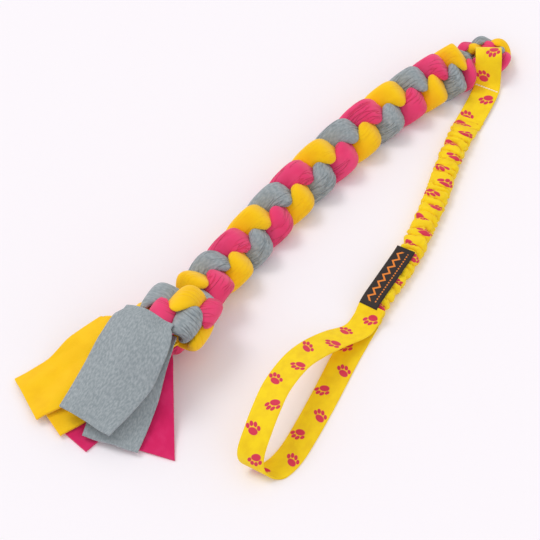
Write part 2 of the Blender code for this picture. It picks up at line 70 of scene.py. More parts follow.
def planAt(route, distance):        # a route is a start, a heading and runs of (length, turn)
    spot, heading, runs = route
    spot = atHeight(spot, 0)
    if distance < 0:
        return spot + distance * planDir(heading), heading
    for length, turn in runs:
        part = min(distance, length)
        bend = turn * part / length
        half = math.radians(bend) / 2
        chord = part * (math.sin(half) / half if abs(half) > 1e-9 else 1)
        spot = spot + chord * planDir(heading + bend / 2)
        heading += bend
        distance -= part
        if distance <= 0:
            return spot, heading
    return spot + distance * planDir(heading), heading


def toLinear(hexColour):        # sRGB hex to the linear colour that Blender works in
    channels = [int(hexColour[i:i + 2], 16) / 255 for i in (0, 2, 4)]
    return [c / 12.92 if c <= 0.04045 else ((c + 0.055) / 1.055) ** 2.4 for c in channels] + [1]


def addNode(tree, kind, settings=None, inputs=None, stops=()):
    # An input is a plain value, a socket or a node, whose first output it takes. Stops are the
    # places and colours of a ramp. A Mix node's inputs 2 and 3 are its numbers, 6 and 7 its colours.
    node = tree.nodes.new(kind)
    for name, value in (settings or {}).items():
        setattr(node, name, value)
    for name, value in (inputs or {}).items():
        if isinstance(value, bpy.types.Node):
            value = value.outputs[0]
        if isinstance(value, bpy.types.NodeSocket):
            tree.links.new(value, node.inputs[name])
        else:
            node.inputs[name].default_value = value
    if stops:
        elements = node.color_ramp.elements
        while len(elements) < len(stops):
            elements.new(0.5)
        for element, (place, colour) in zip(elements, stops):
            element.position = place
            element.color = toLinear(colour)
    return node


def newMaterial(name, finish):
    made = bpy.data.materials.new(name)
    made.use_nodes = True
    tree = made.node_tree
    shader = tree.nodes["Principled BSDF"]
    for socket, value in finish.items():
        shader.inputs[socket].default_value = value
    return made, tree, shader


# Materials

waveBand = 1 / 3.14        # about how far apart a wave texture's bands lie at a scale of 1

fleece = {
    # deep, base and light shade; then how strongly the folds (bump and painted shade) and the
    # heather show
    "yellow": {"shades": ("F2B400", "FFC907", "FFD21C"), "folds": 0.35, "heather": 0.0},
    "pink": {"shades": ("D92A60", "EE4075", "F4588A"), "folds": 1.0, "heather": 0.0,
             # the pink tails take a darker copy of the same fleece: painted shade
             "flatShadesWithPaintedShade": ("C40F50", "DC1E64", "EA4280")},
    "grey": {"shades": ("8E979C", "AAB1B5", "C2C8CB"), "folds": 1.0, "heather": 0.75},
    # size of the marks across and along the cloth, their detail and where they start
    "marks": {"nap": (1.1 * mm, 1.76 * mm, 3.0, 0.0),        # drawn coarser than real, to show
              "patches": (14 * mm, 18 * mm, 2.0, 5.0),
              "heather": (1.4 * mm, 3.2 * mm, 4.0, 9.0),
              "folds": (3.2 * mm, 26 * mm, 1.0, 2.0),
              "foldPlaces": (15 * mm, 34 * mm, 1.0, 14.0)},
    # the second value is how far a fold darkens the colour, as painted shade
    "foldLine": 0.045, "foldPaintedShade": 0.4, "napHeight": 0.25, "bump": 0.8 * mm,
}


def makeFleece(colour, folded):
    # Brushed polyester fleece: no gloss, a soft nap that lights up at grazing angles, and on the
    # plaited strips long folds where the strip is rolled up, darkened with painted shade.
    cut = fleece[colour]
    # The flat pink tails use the darker copy, which is painted shade.
    deep, base, light = cut["shades"] if folded else cut.get("flatShadesWithPaintedShade", cut["shades"])
    made, tree, shader = newMaterial(f"{colour}Fleece" + ("RolledPaintedFoldShade" if folded else "Flat"),
                                     {"Roughness": 0.95, "IOR": 1.45, "Specular IOR Level": 0.15,
                                      "Sheen Weight": 0.18, "Sheen Roughness": 0.6})
    wanted = ["nap", "patches"]
    if cut["heather"]:
        wanted.append("heather")
    if folded:
        wanted += ["folds", "foldPlaces"]
    flat = addNode(tree, "ShaderNodeUVMap", {"uv_map": "cloth"})
    marks = {}
    for mark in wanted:
        across, along, detail, start = fleece["marks"][mark]
        scaled = addNode(tree, "ShaderNodeMapping", None,
                         {"Vector": flat, "Location": (start, start, 0),
                          "Scale": (1 / across, 1 / along, 1)})
        marks[mark] = addNode(tree, "ShaderNodeTexNoise", None,
                              {"Vector": scaled, "Scale": 1.0, "Detail": detail})
    shade = addNode(tree, "ShaderNodeMath", {"operation": "MULTIPLY_ADD"},
                    {0: marks["patches"], 1: 0.5, 2: 0.25})
    if cut["heather"]:
        mottle = addNode(tree, "ShaderNodeMath", {"operation": "MULTIPLY_ADD"},
                         {0: marks["heather"], 1: 1.3, 2: -0.4})
        shade = addNode(tree, "ShaderNodeMix", None, {0: cut["heather"], 2: shade, 3: mottle})
    colours = addNode(tree, "ShaderNodeValToRGB", None, {0: shade},
                      ((0.2, deep), (0.5, base), (0.8, light)))
    height = addNode(tree, "ShaderNodeMath", {"operation": "MULTIPLY"},
                     {0: marks["nap"], 1: fleece["napHeight"]})
    if folded:
        # A fold runs where the noise crosses its middle value, in some places only.
        away = addNode(tree, "ShaderNodeMath", {"operation": "SUBTRACT"},
                       {0: marks["folds"], 1: 0.5})
        away = addNode(tree, "ShaderNodeMath", {"operation": "ABSOLUTE"}, {0: away})
        line = addNode(tree, "ShaderNodeMapRange", None,
                       {0: away, 1: 0.0, 2: fleece["foldLine"], 3: 1.0, 4: 0.0})
        where = addNode(tree, "ShaderNodeMapRange", None,
                        {0: marks["foldPlaces"], 1: 0.46, 2: 0.56, 3: 0.0, 4: cut["folds"]})
        depth = addNode(tree, "ShaderNodeMath", {"operation": "MULTIPLY"}, {0: line, 1: where})
        height = addNode(tree, "ShaderNodeMath", {"operation": "SUBTRACT"}, {0: height, 1: depth})
        # Painted shade: the colour is darkened towards the deep shade along each fold.
        share = addNode(tree, "ShaderNodeMath", {"operation": "MULTIPLY"},
                        {0: depth, 1: fleece["foldPaintedShade"]})
        colours = addNode(tree, "ShaderNodeMix", {"data_type": "RGBA", "blend_type": "MULTIPLY"},
                          {0: share, 6: colours, 7: toLinear(deep)}).outputs[2]
    else:
        colours = colours.outputs[0]
    bump = addNode(tree, "ShaderNodeBump", None,
                   {"Height": height, "Distance": fleece["bump"], "Strength": 0.8})
    tree.links.new(colours, shader.inputs["Base Color"])
    tree.links.new(bump.outputs[0], shader.inputs["Normal"])
    return made


printCloth = {
    # shade is the colour of the painted shade in the grooves of the gathered sleeve
    "base": "FFDA00", "deep": "F6CC00", "print": "DC3452", "shade": "DC9C3C",
    "patches": (9 * mm, 12 * mm), "weave": 0.9 * mm,        # threads drawn coarser, to show
    "rows": 4.6 * mm, "repeat": 52 * mm, "lean": 0.3,
    # a paw's pad and four toes: middle and half size
    "paw": (((0, -2.2 * mm), (4.4 * mm, 3.5 * mm)), ((-4.9 * mm, 1.6 * mm), (1.8 * mm, 2.4 * mm)),
            ((-1.7 * mm, 4.2 * mm), (1.8 * mm, 2.5 * mm)),
            ((2 * mm, 4.1 * mm), (1.8 * mm, 2.5 * mm)),
            ((5.1 * mm, 1.3 * mm), (1.7 * mm, 2.3 * mm))),
}


def makePrintCloth():
    # Printed polyester webbing: a flat woven ground with a slight sheen, and paw prints in
    # two staggered rows, inked on the top of the weave. Painted shade darkens the cloth in the
    # grooves of the gathered sleeve.
    made, tree, shader = newMaterial("printedWebbing", {"Roughness": 0.62, "IOR": 1.5,
                                                        "Specular IOR Level": 0.3,
                                                        "Sheen Weight": 0.08})
    flat = addNode(tree, "ShaderNodeUVMap", {"uv_map": "cloth"})
    split = addNode(tree, "ShaderNodeSeparateXYZ", None, {0: flat})
    repeat = printCloth["repeat"]
    ink = 0.0
    for side in (-1, 1):        # the two rows, whose paws point opposite ways
        shifted = addNode(tree, "ShaderNodeMath", {"operation": "ADD"},
                          {0: split.outputs[1], 1: repeat * (0.25 * side + 4)})
        within = addNode(tree, "ShaderNodeMath", {"operation": "MODULO"}, {0: shifted, 1: repeat})
        along = addNode(tree, "ShaderNodeMath", {"operation": "MULTIPLY_ADD"},
                        {0: within, 1: side, 2: -side * repeat / 2})
        across = addNode(tree, "ShaderNodeMath", {"operation": "SUBTRACT"},
                         {0: split.outputs[0], 1: side * printCloth["rows"]})
        leaned = addNode(tree, "ShaderNodeMath", {"operation": "MULTIPLY_ADD"},
                         {0: along, 1: printCloth["lean"], 2: across})
        place = addNode(tree, "ShaderNodeCombineXYZ", None, {0: leaned, 1: along})
        for middle, size in printCloth["paw"]:
            oval = addNode(tree, "ShaderNodeMapping", {"vector_type": "TEXTURE"},
                           {"Vector": place, "Location": (*middle, 0), "Scale": (*size, 1)})
            square = addNode(tree, "ShaderNodeVectorMath", {"operation": "DOT_PRODUCT"},
                             {0: oval, 1: oval}).outputs["Value"]
            inked = addNode(tree, "ShaderNodeMapRange", None,
                            {0: square, 1: 0.8, 2: 1.15, 3: 1.0, 4: 0.0})        # soft-edged
            ink = addNode(tree, "ShaderNodeMath", {"operation": "MAXIMUM"}, {0: ink, 1: inked})
    wide, high = printCloth["patches"]
    scaled = addNode(tree, "ShaderNodeMapping", None,
                     {"Vector": flat, "Scale": (1 / wide, 1 / high, 1)})
    tone = addNode(tree, "ShaderNodeTexNoise", None, {"Vector": scaled, "Scale": 1.0, "Detail": 3.0})
    ground = addNode(tree, "ShaderNodeValToRGB", None, {0: tone},
                     ((0.3, printCloth["deep"]), (0.6, printCloth["base"])))
    coloured = addNode(tree, "ShaderNodeMix", {"data_type": "RGBA"},
                       {0: ink, 6: ground, 7: toLinear(printCloth["print"])})
    # Painted shade: the grooves of the gathered sleeve are darkened towards the shade colour.
    paintedGrooveShade = addNode(tree, "ShaderNodeAttribute", {"attribute_name": "paintedGrooveShade"})
    shaded = addNode(tree, "ShaderNodeMix", {"data_type": "RGBA", "blend_type": "MULTIPLY"},
                     {0: paintedGrooveShade.outputs["Fac"], 6: coloured.outputs[2],
                      7: toLinear(printCloth["shade"])})
    threads = 1.0
    for direction in ("Y", "X"):
        thread = addNode(tree, "ShaderNodeTexWave", {"bands_direction": direction},
                         {"Vector": flat, "Scale": waveBand / printCloth["weave"],
                          "Distortion": 0.4}).outputs["Fac"]
        threads = addNode(tree, "ShaderNodeMath", {"operation": "MULTIPLY"}, {0: threads, 1: thread})
    bump = addNode(tree, "ShaderNodeBump", None,
                   {"Height": threads, "Distance": 0.12 * mm, "Strength": 0.5})
    tree.links.new(shaded.outputs[2], shader.inputs["Base Color"])
    tree.links.new(bump.outputs[0], shader.inputs["Normal"])
    return made


labelCloth = {"ground": "281C19", "figure": "EC8426", "length": 72 * mm, "width": 18 * mm,
              "zigzag": 4.5 * mm, "zigzagAt": -4.6 * mm, "halfLine": 1.15 * mm,
              "tickEvery": 3.0 * mm, "tick": 1.6 * mm, "tickAt": 4.4 * mm, "halfTick": 0.6 * mm,
              "halfFigure": 30.96 * mm, "rib": 0.8 * mm}        # ribs drawn coarser, to show


def makeLabelCloth():
    # Woven satin ribbon: dark brown with an orange chevron band and a row of small ticks, and
    # fine ribs across it.
    made, tree, shader = newMaterial("wovenLabel", {"Roughness": 0.5, "IOR": 1.5,
                                                    "Specular IOR Level": 0.35})
    flat = addNode(tree, "ShaderNodeUVMap", {"uv_map": "cloth"})
    split = addNode(tree, "ShaderNodeSeparateXYZ", None, {0: flat})
    x, y = split.outputs[0], split.outputs[1]
    zigzag = addNode(tree, "ShaderNodeMath", {"operation": "PINGPONG"},
                     {0: y, 1: labelCloth["zigzag"]})
    middle = addNode(tree, "ShaderNodeMath", {"operation": "ADD"},
                     {0: zigzag, 1: labelCloth["zigzagAt"]})
    band = addNode(tree, "ShaderNodeMath", {"operation": "COMPARE"},
                   {0: x, 1: middle, 2: labelCloth["halfLine"]})
    within = addNode(tree, "ShaderNodeMath", {"operation": "MODULO"},
                     {0: y, 1: labelCloth["tickEvery"]})
    tick = addNode(tree, "ShaderNodeMath", {"operation": "LESS_THAN"},
                   {0: within, 1: labelCloth["tick"]})
    lane = addNode(tree, "ShaderNodeMath", {"operation": "COMPARE"},
                   {0: x, 1: labelCloth["tickAt"], 2: labelCloth["halfTick"]})
    ticks = addNode(tree, "ShaderNodeMath", {"operation": "MULTIPLY"}, {0: tick, 1: lane})
    both = addNode(tree, "ShaderNodeMath", {"operation": "MAXIMUM"}, {0: band, 1: ticks})
    ends = addNode(tree, "ShaderNodeMath", {"operation": "COMPARE"},
                   {0: y, 1: labelCloth["length"] / 2, 2: labelCloth["halfFigure"]})
    figure = addNode(tree, "ShaderNodeMath", {"operation": "MULTIPLY"}, {0: ends, 1: both})
    coloured = addNode(tree, "ShaderNodeMix", {"data_type": "RGBA"},
                       {0: figure, 6: toLinear(labelCloth["ground"]),
                        7: toLinear(labelCloth["figure"])})
    rib = addNode(tree, "ShaderNodeTexWave", {"bands_direction": "Y"},
                  {"Vector": flat, "Scale": waveBand / labelCloth["rib"]})
    bump = addNode(tree, "ShaderNodeBump", None,
                   {"Height": rib.outputs["Fac"], "Distance": 0.1 * mm, "Strength": 0.4})
    tree.links.new(coloured.outputs[2], shader.inputs["Base Color"])
    tree.links.new(bump.outputs[0], shader.inputs["Normal"])
    return made


def makeThread():
    # Spun polyester sewing thread: cream, matt, with its twist as a fine bump.
    made, tree, shader = newMaterial("sewingThread", {"Roughness": 0.8, "IOR": 1.5,
                                                      "Base Color": toLinear("FFF3CF")})
    where = addNode(tree, "ShaderNodeTexCoord").outputs["Object"]
    twist = addNode(tree, "ShaderNodeTexNoise", None, {"Vector": where, "Scale": 1 / (0.5 * mm)})
    bump = addNode(tree, "ShaderNodeBump", None,
                   {"Height": twist, "Distance": 0.1 * mm, "Strength": 0.5})
    tree.links.new(bump.outputs[0], shader.inputs["Normal"])
    return made


def makeElastic():
    # Braided cover of a latex bungee: off-white, with the small cells of the cover's braid.
    made, tree, shader = newMaterial("bungeeElastic", {"Roughness": 0.75, "IOR": 1.5})
    where = addNode(tree, "ShaderNodeTexCoord").outputs["Object"]
    cells = addNode(tree, "ShaderNodeTexVoronoi", None, {"Vector": where, "Scale": 1 / (1.5 * mm)})
    colours = addNode(tree, "ShaderNodeValToRGB", None, {0: cells.outputs["Distance"]},
                      ((0.1, "E9E4D6"), (0.7, "B9B3A4")))
    tree.links.new(colours.outputs[0], shader.inputs["Base Color"])
    return made


rolledFleece = {colour: makeFleece(colour, True) for colour in ("yellow", "pink", "grey")}
flatFleece = {colour: makeFleece(colour, False) for colour in ("yellow", "pink", "grey")}
webbingCloth = makePrintCloth()
labelSatin = makeLabelCloth()
sewingThread = makeThread()
elastic = makeElastic()
print("materials made")


# Pieces from a flat grid, moved into place row by row

def gridPiece(name, columns, distances, pointAt, width, form="sheet", paintedGrooveShadeAt=None):
    # Columns run across the cloth and rows along it. The flat map is in metres. The form is
    # sheet, openTube, closedTube or ring.
    bm = bmesh.new()
    rows = len(distances) - 1
    bmesh.ops.create_grid(bm, x_segments=columns, y_segments=rows, size=0.5)
    cloth = bm.loops.layers.uv.new("cloth")
    for face in bm.faces:
        for corner in face.loops:
            u, row = corner.vert.co.x + 0.5, round((corner.vert.co.y + 0.5) * rows)
            corner[cloth].uv = ((u - 0.5) * width, distances[row])
    # How much painted shade darkens each corner, for the grooves of the gathers.
    paintedGrooveShade = bm.verts.layers.float.new("paintedGrooveShade")
    for vert in bm.verts:
        u, row = vert.co.x + 0.5, round((vert.co.y + 0.5) * rows)
        vert.co = pointAt(u, row)
        if paintedGrooveShadeAt:
            vert[paintedGrooveShade] = paintedGrooveShadeAt(u, row)
    if form != "sheet":
        bmesh.ops.remove_doubles(bm, verts=bm.verts, dist=1e-6)
    if form == "closedTube":
        bmesh.ops.holes_fill(bm, edges=[e for e in bm.edges if e.is_boundary], sides=0)
        bmesh.ops.triangulate(bm, faces=[f for f in bm.faces if len(f.verts) > 4])
    bmesh.ops.recalc_face_normals(bm, faces=bm.faces)
    return meshObject(name, bm)


def meshObject(name, bm):
    mesh = bpy.data.meshes.new(name)
    bm.to_mesh(mesh)
    bm.free()
    mesh.shade_smooth()
    made = bpy.data.objects.new(name, mesh)
    bpy.context.scene.collection.objects.link(made)
    return made


def dress(piece, material, body, slot, *nodes):
    piece.data.materials.append(material)
    if body:        # a piece that bends between two bodies rides on neither
        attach(piece, body)
    if nodes:
        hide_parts(*nodes)


def thicken(piece, thickness, edge):
    solid = piece.modifiers.new("Solidify", "SOLIDIFY")
    solid.thickness = thickness
    solid.offset = 0
    rounded = piece.modifiers.new("Bevel", "BEVEL")
    rounded.width = edge
    rounded.segments = 2
    rounded.limit_method = "ANGLE"
    rounded.angle_limit = math.radians(50)


# A plait of three strips

strips = ("yellow", "pink", "grey")
knotPlace = Vector((-158.08, 49.54, 0)) * mm        # the ring knot's middle on the floor

plaitLook = {"sides": 56, "sway": 0.41, "lift": 0.45, "squareness": 2.6, "swell": 1.03,
             "press": 0.35 * mm, "softness": 10, "overlap": -0.3, "dive": 38.0,
             "foldDepth": {"yellow": 0.35 * mm, "pink": 0.9 * mm, "grey": 1.0 * mm},
             "foldWander": 34 * mm, "foldReach": 22 * mm, "foldWidth": 0.16}


def stripPoint(station, which, u):
    # A strip is an oval bundle, pressed against the other two where it meets them.
    look = plaitLook
    sway, lift = look["sway"] * station["halfSide"], look["lift"] * station["halfUp"]
    ownSide, ownUp = station["halfSide"] - sway, station["halfUp"] - lift
    angles = [station["phase"] + 2 * math.pi * k / 3 for k in range(3)]
    dive = math.radians(look["dive"])
    middles = [Vector((sway * math.sin(a) / ownSide, -lift * math.sin(2 * a + dive) / ownUp))
               for a in angles]
    turn = 2 * math.pi * u - math.pi / 2
    way = Vector((math.cos(turn), math.sin(turn)))
    slope = sway * 2 * math.pi / station["pitch"] * math.cos(angles[which])
    stretch = math.hypot(1, slope)
    power = look["squareness"]
    limits = [look["swell"] * (abs(way.x / stretch) ** power
                               + abs(way.y) ** power) ** (-1 / power)]
    for other in range(3):
        if other != which:
            apart = middles[other] - middles[which]
            facing = way.dot(apart) / apart.length
            if facing > 0.02:
                shared = 0.5 - look["overlap"] * apart.y / apart.length
                limits.append((apart.length * shared
                               + look["press"] / min(ownSide, ownUp)) / facing)
    reach = sum(limit ** -look["softness"] for limit in limits) ** (-1 / look["softness"])
    own = middles[which] + reach * way
    return own.x * ownSide, own.y * ownUp, Vector((way.x * ownUp, way.y * ownSide)).normalized()


def foldAt(which, u, along, scale):
    # How deep a fold of the rolled strip is, from 0 to 1.
    turn = 2 * math.pi * u
    seed = 31.0 * which
    wander = noise.noise(Vector((math.cos(turn) * 2.6, math.sin(turn) * 2.6,
                                 along / (plaitLook["foldWander"] * scale) + seed)))
    there = noise.noise(Vector((math.cos(turn) * 1.1, math.sin(turn) * 1.1,
                                along / (plaitLook["foldReach"] * scale) + seed + 50)))
    line = max(0.0, 1 - abs(wander) / plaitLook["foldWidth"])
    return line * line * smooth((there + 0.12) / 0.3)


def makePlait(prefix, node, stations, form="closedTube", foldScale=1.0):
    made = []
    distances = [station["at"] for station in stations]
    for which, colour in enumerate(strips):
        depth = plaitLook["foldDepth"][colour] * foldScale

        def pointAt(u, row):
            station = stations[row]
            side, rise, out = stripPoint(station, which, u)
            inward = depth * foldAt(which, u, station["at"], foldScale)
            side -= out.x * inward
            rise -= out.y * inward
            spot = station["middle"] + side * station["side"] + rise * station["up"]
            spot.z = max(spot.z, 0.02 * mm)        # just clear of the floor
            return spot

        middle = stations[len(stations) // 2]
        girth = math.pi * (middle["halfSide"] * 0.55 + middle["halfUp"] * 0.58)
        piece = gridPiece(f"{prefix}{colour.title()}", plaitLook["sides"], distances, pointAt,
                          girth, form)
        nodes = [f"{node}_{colour}"] if node else []
        dress(piece, rolledFleece[colour], "braid", f"fleece_{colour}", *nodes)
        made.append(piece)
    return made


def rolled(heading, degrees):        # the side and up directions of a strand rolled on its route
    side = planDir(heading + 90)
    c, s = math.cos(math.radians(degrees)), math.sin(math.radians(degrees))
    return side * c + upward * s, upward * c - side * s


# "pressed" is where round the ring it bulges or is pushed in: angle, amount and how narrowly
knot = {"radius": 23 * mm, "width": 51 * mm, "thickness": 26.5 * mm, "turns": 2, "phase": 312,
        "mouth": 14 * mm, "core": 9.5 * mm, "tailRoot": 28 * mm, "tilt": 7 * mm, "tiltAt": 36,
        "pressed": ((-15, 5 * mm, 2), (60, -2 * mm, 4), (228, -10 * mm, 3))}
knotHeight = knot["radius"] + knot["thickness"] / 2 - 0.5 * mm

body = {"width": 46 * mm, "thickness": 32 * mm, "length": 398 * mm, "pitch": 97 * mm,
        "endPitch": 62 * mm, "tight": 105 * mm, "bend": 16.0, "endBend": 15.0,
        "endBendLength": 125 * mm, "roll": 28.0, "rise": 95 * mm, "phase": -34.0,
        "height": 16.7 * mm, "past": 10 * mm, "closing": 14 * mm, "startSize": 0.48}
bodyTotal = knot["mouth"] + body["length"]
bodyRoute = (knotPlace, body["bend"], ((bodyTotal - body["endBendLength"], -body["bend"]),
                                       (body["endBendLength"], -body["endBend"])))


def bodyPhase(distance):
    # The pitch shortens evenly over the last stretch.
    start = bodyTotal - body["tight"]
    turns = min(distance, start) / body["pitch"]
    if distance > start:
        rate = (body["endPitch"] - body["pitch"]) / body["tight"]
        turns += math.log(1 + rate * (distance - start) / body["pitch"]) / rate
    return math.radians(body["phase"]) + 2 * math.pi * turns


def bodyStations():
    stations = []
    count = 300
    for i in range(count + 1):
        at = mixed(knot["mouth"] * 0.2, bodyTotal + body["past"], i / count)
        spot, heading = planAt(bodyRoute, at)
        left = bodyTotal - at
        outOfKnot = smooth((at - knot["mouth"]) / (knot["width"] / 2))
        rise = smooth((at - knot["mouth"]) / body["rise"])
        end = (left + body["past"] + 1 * mm) / body["closing"]
        size = mixed(body["startSize"], 1, outOfKnot) * math.sqrt(max(0.02, min(1, end)))
        side, up = rolled(heading, body["roll"] * rise)
        pitch = mixed(body["pitch"], body["endPitch"], min(max(1 - left / body["tight"], 0), 1))
        stations.append({"middle": atHeight(spot, mixed(knotHeight, body["height"], rise)),
                         "side": side, "up": up, "phase": bodyPhase(at), "at": at,
                         "halfSide": body["width"] / 2 * size,
                         "halfUp": body["thickness"] / 2 * size, "pitch": pitch})
    return stations


def knotStations():
    stations = []
    count = 140
    axis, side = planDir(body["bend"]), planDir(body["bend"] + 90)
    around = 2 * math.pi * knot["radius"]
    for i in range(count + 1):
        turn = 2 * math.pi * i / count
        out = side * math.cos(turn) + upward * math.sin(turn)
        reach = knot["radius"]
        for place, amount, power in knot["pressed"]:
            reach += amount * max(math.cos(turn - math.radians(place)), 0) ** power
        tilted = knot["tilt"] * math.cos(turn - math.radians(knot["tiltAt"]))
        stations.append({"middle": atHeight(knotPlace, knotHeight) + reach * out - tilted * axis,
                         "side": axis, "up": out, "at": around * i / count,
                         "phase": math.radians(knot["phase"]) - knot["turns"] * turn,
                         "halfSide": knot["width"] / 2, "halfUp": knot["thickness"] / 2,
                         "pitch": around / knot["turns"]})
    return stations


bight = {"width": 17.0 * mm, "thickness": 14.5 * mm, "pitch": 50 * mm, "height": 10.8 * mm,
         "leg": 30 * mm, "legTurn": -22.0, "tightRadius": 11.8 * mm, "tightTurn": 158.0,
         "wideRadius": 29.8 * mm, "wideTurn": 69.0, "end": 16 * mm, "endTurn": -27.0,
         "offset": 0.8 * mm, "into": 6 * mm, "phase": 240.0}
bodyEnd, bodyEndHeading = planAt(bodyRoute, bodyTotal)
legHeading = bodyEndHeading + bight["legTurn"]
legStart = bodyEnd + bight["offset"] * planDir(bodyEndHeading + 90)
bightRoute = (legStart, legHeading,
              ((bight["leg"], 0),
               (bight["tightRadius"] * math.radians(bight["tightTurn"]), bight["tightTurn"]),
               (bight["wideRadius"] * math.radians(bight["wideTurn"]), bight["wideTurn"]),
               (bight["end"], bight["endTurn"])))
bightTotal = sum(length for length, turn in bightRoute[2])


def bightStations():
    stations = []
    count = 150
    for i in range(count + 1):
        at = mixed(-bight["into"], bightTotal + bight["into"], i / count)
        spot, heading = planAt(bightRoute, at)
        side, up = rolled(heading, 0)
        stations.append({"middle": atHeight(spot, bight["height"]), "side": side, "up": up,
                         "phase": math.radians(bight["phase"]) + 2 * math.pi * at / bight["pitch"],
                         "at": at,
                         "halfSide": bight["width"] / 2, "halfUp": bight["thickness"] / 2,
                         "pitch": bight["pitch"]})
    return stations


def coreStations():
    # The six ends, gathered in the ring and narrowing a little towards the tails.
    stations = []
    count = 30
    axis, side = planDir(body["bend"]), planDir(body["bend"] + 90)
    for i in range(count + 1):
        along = mixed(knot["mouth"], -knot["tailRoot"], i / count)
        size = knot["core"] * (1.0 - 0.25 * smooth(i / count * 4 - 3))
        stations.append({"middle": atHeight(knotPlace, knotHeight) + along * axis,
                         "side": -side, "up": upward, "at": knot["mouth"] - along,
                         "phase": 0.6 + 0.5 * i / count, "halfSide": size, "halfUp": size,
                         "pitch": body["pitch"]})
    return stations


makePlait("body", "braid", bodyStations())
makePlait("ring", "knot", knotStations(), "ring")
makePlait("bight", "bight", bightStations(), foldScale=0.5)
core = makePlait("core", None, coreStations(), foldScale=0.7)
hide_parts("knot_core")
print("plait, ring knot and bight made")


# Fleece tails, lying on one another

tailCut = {"thickness": 2.5 * mm, "edge": 0.8 * mm, "gap": 1.1 * mm, "drop": 100 * mm,
           "bulge": 6 * mm, "bulgeLength": 50 * mm, "drape": 22 * mm, "stack": 26 * mm,
           "back": 6 * mm, "wave": 0.5 * mm, "waveLength": 40 * mm, "crownLength": 115 * mm,
           "bending": 40 * mm}
# "root" is half the width at the knot and "spread" the length that it opens over; "shift" and
# "rootShift" move the strip to its right, "belly" widens it part way down on its right and left,
# "slant" shortens its right edge, and "crown" and "lift" raise its root and its free end.
plainTail = {"rootShift": 0, "crown": 0, "lift": 0, "slant": 0, "belly": (0, 0)}
tails = [plainTail | cut for cut in (        # bottom to top
    {"colour": "pink", "place": "right", "heading": 226.0, "length": 101 * mm, "width": 44 * mm,
     "spread": 44 * mm, "shift": 13 * mm, "root": 11 * mm, "slant": 16 * mm},
    {"colour": "pink", "place": "left", "heading": 180.0, "length": 112 * mm, "width": 46 * mm,
     "spread": 40 * mm, "shift": 7 * mm, "root": 11 * mm},
    {"colour": "yellow", "place": "lower", "heading": 166.0, "length": 117 * mm,
     "width": 52 * mm, "spread": 60 * mm, "shift": 8 * mm, "root": 11 * mm, "crown": 3 * mm},
    {"colour": "grey", "place": "lower", "heading": 206.0, "length": 97 * mm, "width": 52 * mm,
     "spread": 32 * mm, "shift": 16 * mm, "root": 15 * mm, "rootShift": 2 * mm,
     "crown": 8 * mm, "belly": (0, 4 * mm)},
    {"colour": "yellow", "place": "upper", "heading": 160.0, "length": 127 * mm,
     "width": 50 * mm, "spread": 40 * mm, "shift": 18 * mm, "root": 26 * mm,
     "rootShift": 18 * mm, "crown": 20 * mm, "lift": 1 * mm, "belly": (7 * mm, 0)},
    {"colour": "grey", "place": "upper", "heading": 191.0, "length": 97 * mm, "width": 54 * mm,
     "spread": 16 * mm, "shift": 18 * mm, "root": 24 * mm, "rootShift": 15 * mm,
     "crown": 23 * mm, "lift": 6 * mm, "belly": (2 * mm, 12 * mm)})]
tailRoot = knotPlace - knot["tailRoot"] * planDir(body["bend"])
tailsOut = planDir(body["bend"] + 180)


def tailShape(tail, along):
    opened = math.sqrt(1 - (1 - min(max(along / tail["spread"], 0), 1)) ** 2)
    return (mixed(tail["root"], tail["width"] / 2, opened),
            mixed(tail["rootShift"], tail["shift"], opened))


def tailCover(tail, point):        # 1 over a tail, falling to 0 beside it
    offset = point - tailRoot
    stacked = 1 - smooth(offset.dot(tailsOut) / tailCut["stack"] - 1)
    along = offset.dot(planDir(tail["heading"]))
    half, shift = tailShape(tail, along)
    across = offset.dot(planDir(tail["heading"] - 90)) - shift
    beside = abs(across) - half - 2 * tailCut["thickness"]
    past = along - tail["length"]
    over = (1 - smooth(beside / tailCut["drape"])) * (1 - smooth(past / tailCut["drape"]))
    return max(over, stacked)


def tailMiddle(index, point):        # height of a tail's middle layer over a point of the floor
    away = (point - tailRoot).length
    each = tailCut["thickness"] + tailCut["gap"]
    hill = (knotHeight - len(tails) * each / 2) * (1 - smooth(away / tailCut["drop"]))
    hill += tailCut["bulge"] * math.sin(math.pi * min(away / tailCut["bulgeLength"], 1))
    lifted = sum(tailCover(tails[i], point) for i in range(index))
    return hill + lifted * each + tailCut["thickness"] / 2


